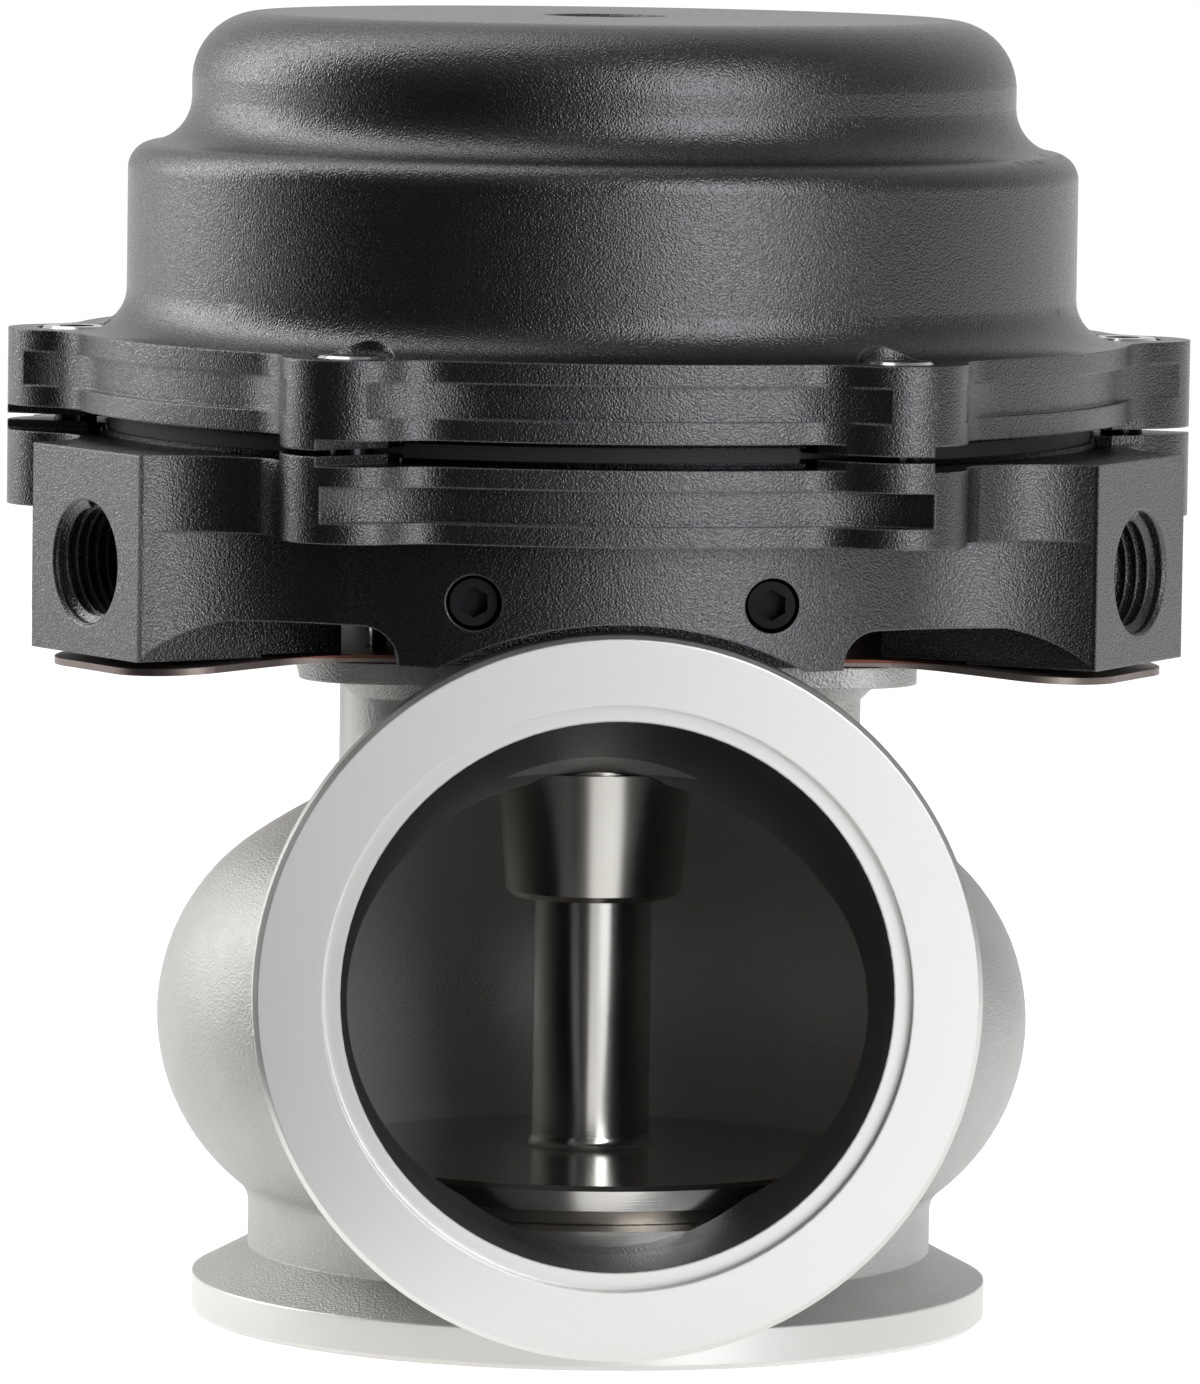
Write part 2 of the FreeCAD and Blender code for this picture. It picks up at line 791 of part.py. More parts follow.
def stem_cuts():
    """Bores about the stem: the passage, the bushing seat and the seal gland."""
    gland_low = chamber_floor_z - gland_depth
    bushing_low = housing_bottom + bushing_step
    passage = cylinder(stem_r + stem_hole_gap, housing_bottom - overcut, gland_low)
    bushing = cylinder(bushing_r + fit_press, bushing_low, gland_low)
    gland = cylinder(gland_r + fit_press, gland_low, chamber_floor_z + overcut)
    return passage.fuse([bushing, gland])


def lower_screw_cuts():
    """Holes for the mounting screws, with recesses for their heads, and for the cap screws."""
    recess_low = chamber_floor_z - mount_head_h - mount_washer_h
    shank_r = mount_screw_r + screw_hole_gap
    cap_low = clamp_z - cap_thread_depth - thread_end_gap
    cuts = []
    for place in mount_places():
        cuts.append(cylinder(shank_r, block_bottom - overcut, chamber_floor_z, place))
        cuts.append(cylinder(mount_recess_r, recess_low, chamber_floor_z + overcut, place))
    for angle in lobe_angles():
        place = spot(lobe_pitch_r, angle)
        cuts.append(cylinder(cap_screw_r + fit_press, cap_low, clamp_z + overcut, place))
    return cuts


def make_lower_housing():
    """Lower actuator housing: lobed flange, round body, four port blocks and a centre bar."""
    housing = cylinder(lower_body_r, block_bottom, lower_flange_z)
    housing = housing.fuse(block_ring(lower_body_r, body_web_r, block_bottom, lower_flange_z))
    housing = housing.cut(underside_pocket())
    flange = lobed_slab(lower_flange_z, lower_flange_top)
    flange = flange.fuse(block_ring(flange_side_r, flange_web_r, lower_flange_z, lower_flange_top))
    pads = clamp_pads(lower_flange_top, clamp_z - pad_gap / 2)
    lip = clamp_lip(lower_flange_top, diaphragm_low)
    housing = housing.fuse([flange, pads, lip])
    rim_pocket_r = diaphragm_rim_r + diaphragm_rim_gap
    relief_r = outlet_rim_r + outlet_relief
    relief_y = outlet_reach - outlet_rim_h - vband_cone_h - overcut
    relief = lay_radially(cylinder(relief_r, relief_y, block_reach), outlet_z)
    cuts = [
        cylinder(chamber_bore_r, chamber_floor_z, clamp_z + overcut),
        cylinder(rim_pocket_r, diaphragm_low, clamp_z + overcut),
        relief,
        stem_cuts(),
        passage_cuts(),
    ]
    groove_low = (lower_flange_z + lower_flange_top - groove_h) / 2
    for angle in lobe_angles():
        middle = (angle + lobe_step / 2) % 360
        if middle not in block_angles:
            cuts.append(side_groove(middle, groove_sweep_low, groove_low))
    cuts += [port_cut(angle) for angle in block_angles]
    cuts += lower_screw_cuts()
    for tool in cuts:
        housing = housing.cut(tool)
    return housing.removeSplitter()


def make_passage_plugs():
    """Socket plugs that close the two long passages, a little below the wall's surface."""
    front_y = math.sqrt(lower_body_r**2 - passage_x**2) - plug_inset
    plugs = []
    for side in (-1, 1):
        plug = cylinder(plug_r, front_y - plug_h, front_y)
        face = [e for e in plug.Edges if abs(e.BoundBox.ZMin - front_y) < 1e-6]
        plug = plug.makeChamfer(plug_chamfer, face)
        plug = plug.cut(hex_prism(plug_hex_r, front_y - plug_hex_depth, front_y))
        plug = lay_radially(plug, passage_z)
        plug.translate(Vector(side * passage_x, 0, 0))
        plugs.append(plug)
    return Part.makeCompound(plugs)


def make_stem_bushing():
    low = housing_bottom + bushing_step + fit_face
    return ring(stem_r + fit_slide, bushing_r, low, chamber_floor_z - gland_depth - fit_face)


def make_stem_seal():
    """Lipped seal, its inner lip on the stem and its outer lip in the gland."""
    low = chamber_floor_z - gland_depth
    high = low + seal_h
    web = low + seal_lip
    return turned(
        [
            (stem_r + fit_slide, low),
            (gland_r, low),
            (gland_r, high),
            (gland_r - 1.5 * seal_lip, high),
            (gland_r - 2.5 * seal_lip, web),
            (stem_r + 1.25 * seal_lip, web),
            (stem_r + fit_slide, high),
        ]
    )


def make_seal_retaining_ring():
    low = chamber_floor_z - gland_depth + seal_h + fit_face
    snap = ring(snap_inner_r, gland_r, low, low + snap_h)
    return snap.cut(Part.makeBox(snap_gap, gland_r, snap_h, Vector(-snap_gap / 2, 0, low)))


def make_mounting_screws():
    """Low-head screws that hold the actuator on the valve body, heads sunk in the floor."""
    head_low = chamber_floor_z - mount_head_h
    hex_low = chamber_floor_z - mount_hex_depth
    screws = []
    for place in mount_places():
        screw = cylinder(mount_screw_r, body_top - mount_thread_length, head_low, place)
        screw = screw.fuse(cylinder(mount_head_r, head_low, chamber_floor_z, place))
        screws.append(screw.cut(hex_prism(mount_hex_r, hex_low, chamber_floor_z, place)))
    return Part.makeCompound(screws)


def make_screw_washers():
    high = chamber_floor_z - mount_head_h
    low = high - mount_washer_h
    washers = []
    for place in mount_places():
        washer = cylinder(mount_washer_r, low, high, place)
        washers.append(washer.cut(cylinder(mount_screw_r + mount_washer_gap, low, high, place)))
    return Part.makeCompound(washers)


def make_diaphragm():
    """Fabric-reinforced diaphragm: clamped rim, one roll down to the piston plates."""
    half = diaphragm_t / 2
    inner_z = retainer_top + half
    outer_r = chamber_bore_r - roll_outer_gap
    inner_r = skirt_outer_r - roll_inner_gap
    middle = []
    for k in range(roll_steps + 1):
        share = k / roll_steps
        drop = (1 - math.cos(math.pi * share)) / 2
        middle.append((outer_r + (inner_r - outer_r) * share, clamp_z + (inner_z - clamp_z) * drop))
    outline = [(diaphragm_hole_r, retainer_top), (diaphragm_hole_r, piston_z)]
    outline += [(r, z + half) for r, z in reversed(middle)]
    outline += [(diaphragm_rim_r, diaphragm_high), (diaphragm_rim_r, diaphragm_low)]
    outline += [(r, z - half) for r, z in middle]
    return turned(outline)


def make_lower_retainer():
    bore = stem_thread_r + fit_slide
    chamfer = lower_retainer_chamfer
    return turned(
        [
            (bore, stem_shoulder),
            (lower_retainer_r - chamfer, stem_shoulder),
            (lower_retainer_r, stem_shoulder + chamfer),
            (lower_retainer_r, retainer_top),
            (bore, retainer_top),
        ]
    )


def make_upper_retainer():
    """Spring cup on top of the diaphragm, with a hub under the stem nut."""
    bore = stem_thread_r + fit_slide
    skirt_inner_r = skirt_outer_r - skirt_wall
    return turned(
        [
            (bore, piston_z),
            (lower_retainer_r, piston_z),
            (skirt_outer_r - skirt_foot, spring_seat_z - retainer_edge),
            (skirt_outer_r, spring_seat_z + retainer_edge),
            (skirt_outer_r, skirt_top),
            (skirt_inner_r, skirt_top),
            (skirt_inner_r, spring_seat_z),
            (hub_r, spring_seat_z),
            (hub_r - retainer_edge, hub_top),
            (bore, hub_top),
        ]
    )


def make_nut_washer():
    return ring(stem_thread_r + fit_slide, washer_r, hub_top, hub_top + washer_h)


def make_stem_nut():
    low = hub_top + washer_h
    high = low + nut_h
    corner_r = nut_flats / math.sqrt(3)
    crown = Part.makeCone(corner_r + 2.0, corner_r - nut_crown, nut_h, Vector(0, 0, low))
    nut = hex_prism(corner_r, low, high).common(crown)
    return nut.cut(cylinder(stem_thread_r + fit_slide, low, high))


def make_spring(mean_r, wire, turns):
    """Round-wire spring, its ends ground flat against the cup and the bell roof."""
    low = spring_seat_z + fit_loose
    top = bell_roof_z - fit_loose
    start_z = low - wire / 4
    height = top + wire / 4 - start_z
    pitch = height / turns
    helix = Part.makeHelix(pitch, height, mean_r)
    helix.translate(Vector(0, 0, start_z))
    slope = Vector(0, mean_r * 2 * math.pi, pitch)
    section = Part.Wire(Part.makeCircle(wire / 2, rz(mean_r, start_z), slope))
    coil = Part.Wire(helix.Edges).makePipeShell([section], True, True)
    return coil.common(ring(mean_r - wire, mean_r + wire, low, top))


def bell_outside():
    """The turned outside of the bell, from its crown down to the joint."""
    crown_low = bell_top - bell_crown_h
    neck_high = bell_ledge_z + bell_neck_h
    ledge_low = bell_ledge_z - bell_ledge_h
    flare_z = bell_flange_top + bell_flare_r
    flare_end_r = bell_lower_r + bell_flare_r
    bend = bell_flare_r * (1 - math.sqrt(0.5))
    ledge = rz(bell_ledge_r, bell_ledge_z)
    ledge_foot = rz(bell_lower_r, ledge_low)
    flare_top = rz(bell_lower_r, flare_z)
    flare_end = rz(flare_end_r, bell_flange_top)
    edges = [
        bulged(rz(bell_flat_r, bell_top), rz(bell_upper_r, crown_low), bell_crown_bulge),
        line(rz(bell_upper_r, crown_low), rz(bell_upper_r, neck_high)),
        bulged(rz(bell_upper_r, neck_high), ledge, bell_neck_bulge),
        bulged(ledge, ledge_foot, bell_ledge_bulge),
        line(ledge_foot, flare_top),
        arc(flare_top, rz(bell_lower_r + bend, bell_flange_top + bend), flare_end),
    ]
    foot = rz(flare_end_r, bell_flange_bottom)
    edges += lines([flare_end, foot, rz(0, bell_flange_bottom), rz(0, bell_top), rz(bell_flat_r, bell_top)])
    return revolve(edges)


def bell_inside():
    """Room for the springs and the piston, with a boss left under the top port."""
    upper_r = bell_upper_r - bell_wall
    room = turned(
        [
            (0, clamp_z),
            (chamber_bore_r, clamp_z),
            (chamber_bore_r, bell_ledge_z - bell_inner_low),
            (upper_r, bell_ledge_z - bell_inner_high),
            (upper_r, bell_roof_z - bell_inner_round),
            (upper_r - bell_inner_round, bell_roof_z),
            (0, bell_roof_z),
        ]
    )
    return room.cut(cylinder(bell_boss_r, bell_boss_z, bell_roof_z))


def make_upper_housing():
    """Upper actuator housing: stepped bell over a lobed flange, hollow for the springs."""
    bell = bell_outside().fuse(
        [
            lobed_slab(bell_flange_bottom, bell_flange_top),
            clamp_pads(clamp_z + pad_gap / 2, bell_flange_bottom),
            clamp_lip(diaphragm_high, bell_flange_bottom),
        ]
    )
    head_low = bell_flange_top + cap_head_proud - cap_head_h - fit_face
    groove_low = (bell_flange_bottom + bell_flange_top - groove_h) / 2
    mouth_h = port_mouth_r - port_bore_r
    cuts = [
        bell_inside(),
        cylinder(diaphragm_rim_r + diaphragm_rim_gap, clamp_z, diaphragm_high),
        cylinder(port_bore_r, bell_boss_z - overcut, bell_top),
        Part.makeCone(port_bore_r, port_mouth_r, mouth_h, Vector(0, 0, bell_top - mouth_h)),
    ]
    for angle in lobe_angles():
        place = spot(lobe_pitch_r, angle)
        cuts.append(cylinder(cap_screw_r + screw_hole_gap, clamp_z, bell_flange_top, place))
        cuts.append(cylinder(cap_counterbore_r, head_low, bell_ledge_z, place))
        cuts.append(side_groove(angle + lobe_step / 2, groove_sweep_top, groove_low))
    for tool in cuts:
        bell = bell.cut(tool)
    return bell.removeSplitter()


def make_cap_screws():
    """Six socket screws that clamp the bell, diaphragm and lower housing."""
    head_top = bell_flange_top + cap_head_proud
    head_low = head_top - cap_head_h
    hex_low = head_top - cap_hex_depth
    screws = []
    for angle in lobe_angles():
        place = spot(lobe_pitch_r, angle)
        head = cylinder(cap_head_r, head_low, head_top, place)
        edge = [e for e in head.Edges if abs(e.BoundBox.ZMin - head_top) < 1e-6]
        head = head.makeChamfer(cap_head_chamfer, edge)
        screw = cylinder(cap_screw_r, clamp_z - cap_thread_depth, head_low, place).fuse(head)
        screws.append(screw.cut(hex_prism(cap_hex_r, hex_low, head_top, place)))
    return Part.makeCompound(screws)


def main():
    os.makedirs("parts", exist_ok=True)
    pieces = {
        "valve_body": make_valve_body(),
        "valve_seat": make_valve_seat(),
        "valve": make_valve(),
        "valve_guide": make_valve_guide(),
        "body_gasket": make_body_gasket(),
        "heat_shield": make_heat_shield(),
        "lower_housing": make_lower_housing(),
        "passage_plugs": make_passage_plugs(),
        "stem_bushing": make_stem_bushing(),
        "stem_seal": make_stem_seal(),
        "seal_retaining_ring": make_seal_retaining_ring(),
        "mounting_screws": make_mounting_screws(),
        "screw_washers": make_screw_washers(),
        "diaphragm": make_diaphragm(),
        "lower_retainer": make_lower_retainer(),
        "upper_retainer": make_upper_retainer(),
        "nut_washer": make_nut_washer(),
        "stem_nut": make_stem_nut(),
        "outer_spring": make_spring(outer_spring_r, outer_wire, outer_turns),
        "inner_spring": make_spring(inner_spring_r, inner_wire, inner_turns),
        "upper_housing": make_upper_housing(),
        "cap_screws": make_cap_screws(),
    }
    for name, shape in pieces.items():
        shape.exportStep(f"parts/{name}.step")
        print(name, len(shape.Solids), round(shape.Volume, 1), shape.isValid())


main()
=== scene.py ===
import json
import math

import bmesh
import bpy
from mathutils import Matrix, Vector


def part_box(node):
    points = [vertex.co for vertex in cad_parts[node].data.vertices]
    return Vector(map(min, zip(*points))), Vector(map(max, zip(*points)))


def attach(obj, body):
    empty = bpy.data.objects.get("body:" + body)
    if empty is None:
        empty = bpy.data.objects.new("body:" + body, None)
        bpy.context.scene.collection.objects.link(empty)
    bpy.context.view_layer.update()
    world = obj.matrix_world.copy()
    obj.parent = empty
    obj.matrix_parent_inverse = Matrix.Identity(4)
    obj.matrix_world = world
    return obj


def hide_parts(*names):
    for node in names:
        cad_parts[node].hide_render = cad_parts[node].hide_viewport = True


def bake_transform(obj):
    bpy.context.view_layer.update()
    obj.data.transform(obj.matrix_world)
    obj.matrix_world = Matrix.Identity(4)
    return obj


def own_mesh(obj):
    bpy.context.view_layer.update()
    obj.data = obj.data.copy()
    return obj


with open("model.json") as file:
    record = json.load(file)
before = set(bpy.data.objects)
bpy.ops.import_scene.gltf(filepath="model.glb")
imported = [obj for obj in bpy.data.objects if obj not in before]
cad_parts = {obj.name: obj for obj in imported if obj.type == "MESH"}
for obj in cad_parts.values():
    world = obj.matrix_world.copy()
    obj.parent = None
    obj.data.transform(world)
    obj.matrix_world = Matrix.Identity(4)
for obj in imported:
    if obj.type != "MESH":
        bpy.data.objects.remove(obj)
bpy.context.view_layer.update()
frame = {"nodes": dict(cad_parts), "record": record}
nodes = frame["nodes"]
mounts = {mount["name"]: mount for mount in frame["record"]["mounts"]}
mm = 0.001

# Places that the finishes and pieces share, read from the frame
outletFaceY = mounts["outlet_face"]["pos_m"][1]
outletZ = mounts["outlet_face"]["pos_m"][2]
outletBoreRadius = mounts["outlet_bore"]["dims"]["r_mm"] * mm

print("stage: camera")

photoCamera = {
    "place": (-0.04718, -0.86867, 0.13021),
    "yaw": 0.05465,  # radians, the camera looks a little to the right
    "pitchDown": 0.09007,
    "roll": 0.01421,
    "focalPixels": 10562.2,
    "longSidePixels": 1384,
    "sensorWidth": 36.0,
    "clip": (0.05, 50.0),
}


def addCamera(look):
    data = bpy.data.cameras.new("photoCamera")
    data.sensor_width = look["sensorWidth"]
    data.lens = look["focalPixels"] / look["longSidePixels"] * look["sensorWidth"]
    data.clip_start, data.clip_end = look["clip"]
    camera = bpy.data.objects.new("photoCamera", data)
    bpy.context.scene.collection.objects.link(camera)
    turn = Matrix.Rotation(-look["yaw"], 4, "Z")
    turn = turn @ Matrix.Rotation(math.pi / 2 - look["pitchDown"], 4, "X")
    turn = turn @ Matrix.Rotation(look["roll"], 4, "Z")
    camera.matrix_world = Matrix.Translation(look["place"]) @ turn
    bpy.context.scene.camera = camera


addCamera(photoCamera)

print("stage: shader tools")


def placeNode(tree, kind, inputs=None, **settings):
    node = tree.nodes.new(kind)
    for name, value in settings.items():
        setattr(node, name, value)
    for key, value in (inputs or {}).items():
        socket = node.inputs[key]
        if isinstance(value, bpy.types.NodeSocket):
            tree.links.new(value, socket)
        else:
            socket.default_value = value
    return node


def mathNode(tree, operation, *values, clamp=False):
    node = placeNode(tree, "ShaderNodeMath", dict(enumerate(values)), operation=operation)
    node.use_clamp = clamp
    return node.outputs[0]


def mixNumber(tree, factor, first, second):
    node = placeNode(tree, "ShaderNodeMix", {"Factor": factor, 2: first, 3: second}, data_type="FLOAT")
    return node.outputs[0]


def mixColour(tree, factor, first, second):
    # The two colours of a Mix node are its sockets 6 and 7
    node = placeNode(tree, "ShaderNodeMix", {"Factor": factor, 6: first, 7: second}, data_type="RGBA")
    return node.outputs[2]


def mapRange(tree, value, low, high, **settings):
    inputs = {"Value": value, "From Min": low, "From Max": high}
    return placeNode(tree, "ShaderNodeMapRange", inputs, **settings).outputs[0]


def allOf(tree, *masks):
    product = masks[0]
    for mask in masks[1:]:
        product = mathNode(tree, "MULTIPLY", product, mask)
    return product


def between(tree, value, low, high):
    above = mathNode(tree, "GREATER_THAN", value, low)
    return allOf(tree, above, mathNode(tree, "LESS_THAN", value, high))


def objectPlace(tree):
    coordinates = placeNode(tree, "ShaderNodeTexCoord")
    parts = placeNode(tree, "ShaderNodeSeparateXYZ", {0: coordinates.outputs["Object"]})
    return coordinates, parts.outputs["X"], parts.outputs["Y"], parts.outputs["Z"]


print("stage: light and floor")

# Angles are counted from the camera's side, positive to the right as it sees them
studio = {
    "aim": (0.0, 0.0, 0.06),
    "world": {"front": 0.24, "rear": 0.75, "rearStart": 0.0, "rearFull": 0.75},
    "floor": {
        "colour": (0.66, 0.66, 0.66, 1.0),
        "glow": 0.78,  # seen by the camera and in reflections only
        "glowStart": -0.35,  # in reflections it comes up between these two lines across the floor
        "glowFull": -0.10,
        "size": 30.0,
        "drop": 0.0002,
    },
    "softboxes": {
        "frontRight": {
            "angle": 25, "distance": 0.62, "width": 0.30, "low": 0.01, "high": 0.72,
            "radiance": 5.0, "colour": (0.93, 0.96, 1.0),
        },
        "rearLeft": {
            "angle": -117, "distance": 0.55, "width": 0.16, "low": 0.09, "high": 0.85,
            "radiance": 7.0, "colour": (1.0, 1.0, 1.0),
        },
    },
    "topLight": {
        "place": (-0.22, 0.12, 0.80), "size": (0.40, 0.40),
        "radiance": 2.0, "colour": (1.0, 1.0, 1.0),
    },
    "darkCard": {
        "first": -86, "last": -8, "near": 0.085, "distance": 0.50, "low": 0.0002, "height": 0.45,
        "steps": 24, "shade": (0.010, 0.010, 0.010, 1.0),
    },
}


def aroundObject(angle, distance, z):
    turn = math.radians(angle)
    return Vector((math.sin(turn) * distance, -math.cos(turn) * distance, z))


def addLamp(name, place, aim, size, look):
    data = bpy.data.lights.new(name, "AREA")
    data.shape = "RECTANGLE"
    data.size, data.size_y = size
    data.energy = look["radiance"] * math.pi * size[0] * size[1]
    data.color = look["colour"]
    lamp = bpy.data.objects.new(name, data)
    bpy.context.scene.collection.objects.link(lamp)
    lamp.location = place
    lamp.rotation_euler = (Vector(aim) - place).to_track_quat("-Z", "Y").to_euler()
    lamp.visible_camera = False


def addSoftbox(name, look):
    middle = (look["low"] + look["high"]) / 2
    place = aroundObject(look["angle"], look["distance"], middle)
    addLamp(name, place, (0.0, 0.0, middle), (look["width"], look["high"] - look["low"]), look)


def addStage(name, bm, material):
    mesh = bpy.data.meshes.new(name)
    bm.to_mesh(mesh)
    bm.free()
    mesh.materials.append(material)
    piece = bpy.data.objects.new(name, mesh)
    bpy.context.scene.collection.objects.link(piece)
    return piece


def addDarkCard(look):
    # A black card bent round the front left and laid on the floor there, for reflections only
    bm = bmesh.new()
    corners = [
        (look["near"], look["low"]),
        (look["distance"], look["low"]),
        (look["distance"], look["height"]),
    ]
    profile = [bm.verts.new(aroundObject(look["first"], reach, z)) for reach, z in corners]
    edges = [bm.edges.new(pair) for pair in zip(profile, profile[1:])]
    bmesh.ops.spin(
        bm, geom=profile + edges, cent=(0, 0, 0), axis=(0, 0, 1), dvec=(0, 0, 0),
        angle=math.radians(look["last"] - look["first"]), steps=look["steps"], use_duplicate=False,
    )
    material = bpy.data.materials.new("blackCard")
    material.use_nodes = True
    material.node_tree.nodes["Principled BSDF"].inputs["Base Color"].default_value = look["shade"]
    card = addStage("darkCard", bm, material)
    card.visible_camera = False
    card.visible_diffuse = False
    card.visible_shadow = False


def addWorld(look):
    # A pale tent, brighter behind the object than in front of it, and white to the camera
    world = bpy.data.worlds.new("studioTent")
    bpy.context.scene.world = world
    world.use_nodes = True
    tree = world.node_tree
    background = tree.nodes["Background"]
    background.inputs["Color"].default_value = (1.0, 1.0, 1.0, 1.0)
    direction = placeNode(tree, "ShaderNodeTexCoord").outputs["Generated"]
    towards = placeNode(tree, "ShaderNodeSeparateXYZ", {0: direction}).outputs["Y"]
    rear = mapRange(tree, towards, look["rearStart"], look["rearFull"])
    strength = mixNumber(tree, rear, look["front"], look["rear"])
    seen = placeNode(tree, "ShaderNodeLightPath").outputs["Is Camera Ray"]
    tree.links.new(mixNumber(tree, seen, strength, 1.0), background.inputs["Strength"])


def addFloor(look):
    bm = bmesh.new()
    bmesh.ops.create_grid(bm, x_segments=1, y_segments=1, size=look["size"] / 2)
    bmesh.ops.translate(bm, verts=bm.verts, vec=(0, 0, -look["drop"]))
    material = bpy.data.materials.new("paleFloor")
    material.use_nodes = True
    tree = material.node_tree
    tree.nodes.clear()
    path = placeNode(tree, "ShaderNodeLightPath").outputs
    mirrored = mathNode(tree, "MAXIMUM", path["Is Glossy Ray"], path["Is Transmission Ray"])
    behind = mapRange(tree, objectPlace(tree)[2], look["glowStart"], look["glowFull"])
    seen = mathNode(tree, "MAXIMUM", path["Is Camera Ray"], allOf(tree, mirrored, behind))
    glow = mathNode(tree, "MULTIPLY", seen, look["glow"])
    diffuse = placeNode(tree, "ShaderNodeBsdfDiffuse", {"Color": look["colour"]})
    emission = placeNode(tree, "ShaderNodeEmission", {"Strength": glow})
    both = placeNode(tree, "ShaderNodeAddShader", {0: diffuse.outputs[0], 1: emission.outputs[0]})
    placeNode(tree, "ShaderNodeOutputMaterial", {"Surface": both.outputs[0]})
    floor = addStage("floor", bm, material)


addWorld(studio["world"])
addFloor(studio["floor"])
addDarkCard(studio["darkCard"])
for lampName, lampLook in studio["softboxes"].items():
    addSoftbox(lampName, lampLook)
topLight = studio["topLight"]
addLamp("topLight", Vector(topLight["place"]), studio["aim"], topLight["size"], topLight)
bpy.context.scene.view_settings.view_transform = "Standard"

print("stage: shared effects")


def newGroup(name, inputs, outputs):
    group = bpy.data.node_groups.new(name, "ShaderNodeTree")
    for socketName, kind, value in inputs:
        socket = group.interface.new_socket(socketName, in_out="INPUT", socket_type=kind)
        socket.default_value = value
    for socketName, kind in outputs:
        group.interface.new_socket(socketName, in_out="OUTPUT", socket_type=kind)
    return group, placeNode(group, "NodeGroupInput"), placeNode(group, "NodeGroupOutput")


def noise(tree, place, scale, detail, **more):
    inputs = {"Vector": place, "Scale": scale, "Detail": detail, **more}
    return placeNode(tree, "ShaderNodeTexNoise", inputs).outputs["Fac"]


def makeGrainGroup():
    # Blasted grain on a slower swell, given as a height and a shade
    group, taken, given = newGroup(
        "blastedGrain",
        [("Grain Size", "NodeSocketFloat", 0.4 * mm), ("Swell Size", "NodeSocketFloat", 4 * mm)],
        [("Height", "NodeSocketFloat"), ("Shade", "NodeSocketFloat")],
    )
    place = placeNode(group, "ShaderNodeTexCoord").outputs["Object"]
    fineScale = mathNode(group, "DIVIDE", 1.0, taken.outputs["Grain Size"])
    swellScale = mathNode(group, "DIVIDE", 1.0, taken.outputs["Swell Size"])
    fine = noise(group, place, fineScale, 1.0, Roughness=0.6)
    swell = noise(group, place, swellScale, 3.0)
    shade = mixNumber(group, 0.5, fine, swell)
    group.links.new(fine, given.inputs["Height"])
    group.links.new(shade, given.inputs["Shade"])
    return group


def makeTurnedGroup():
    # Cutter marks that run round an axis, from the distance to that axis
    group, taken, given = newGroup(
        "turnedMarks",
        [("Distance", "NodeSocketFloat", 0.0), ("Mark Width", "NodeSocketFloat", 0.1 * mm)],
        [("Height", "NodeSocketFloat")],
    )
    count = mathNode(group, "DIVIDE", taken.outputs["Distance"], taken.outputs["Mark Width"])
    inputs = {"W": count, "Scale": 1.0, "Detail": 2.0}
    marks = placeNode(group, "ShaderNodeTexNoise", inputs, noise_dimensions="1D")
    group.links.new(marks.outputs["Fac"], given.inputs["Height"])
    return group


grainGroup = makeGrainGroup()
turnedGroup = makeTurnedGroup()


def useGroup(tree, group, **inputs):
    # Underscores stand for the spaces in the sockets' names
    sockets = {name.replace("_", " "): value for name, value in inputs.items()}
    node = placeNode(tree, "ShaderNodeGroup", node_tree=group)
    for name, value in sockets.items():
        if isinstance(value, bpy.types.NodeSocket):
            tree.links.new(value, node.inputs[name])
        else:
            node.inputs[name].default_value = value
    return node.outputs


def newMaterial(name, constants):
    material = bpy.data.materials.new(name)
    material.use_nodes = True
    shader = material.node_tree.nodes["Principled BSDF"]
    for socket, value in constants.items():
        shader.inputs[socket].default_value = value
    return material, material.node_tree, shader


def distanceFromAxis(tree, first, second):
    squares = [mathNode(tree, "MULTIPLY", side, side) for side in (first, second)]
    return mathNode(tree, "SQRT", mathNode(tree, "ADD", *squares))


def vectorNode(tree, operation, output, *values):
    inputs = dict(enumerate(values))
    return placeNode(tree, "ShaderNodeVectorMath", inputs, operation=operation).outputs[output]


def bevelNormal(tree, radius):
    return placeNode(tree, "ShaderNodeBevel", {"Radius": radius}).outputs["Normal"]


def linkBump(tree, shader, height, depth, normal=None):
    bump = placeNode(tree, "ShaderNodeBump", {"Height": height, "Strength": 1.0, "Distance": depth})
    if normal is not None:
        tree.links.new(normal, bump.inputs["Normal"])
    tree.links.new(bump.outputs["Normal"], shader.inputs["Normal"])


print("stage: finishes")

anodised = {
    "dark": (0.003, 0.003, 0.0035, 1.0),
    "light": (0.009, 0.009, 0.010, 1.0),
    "specular": 1.0,
    "roughness": (0.22, 0.32),
    "grainSize": 0.18 * mm,
    "swellSize": 5.0 * mm,
    "grainDepth": 0.065 * mm,
    "edgeRadius": 0.25 * mm,
    # lighter colour at the edges: partly real wear, partly painted highlight
    "worn": (0.13, 0.13, 0.14, 1.0),
    "wornSharpness": 5.0,
    # Painted shade: the gap between the clamp flanges, inside their lobes, is made a dead black
    "seam": {"low": 72.9 * mm, "high": 75.15 * mm, "radius": 42.3 * mm},
}


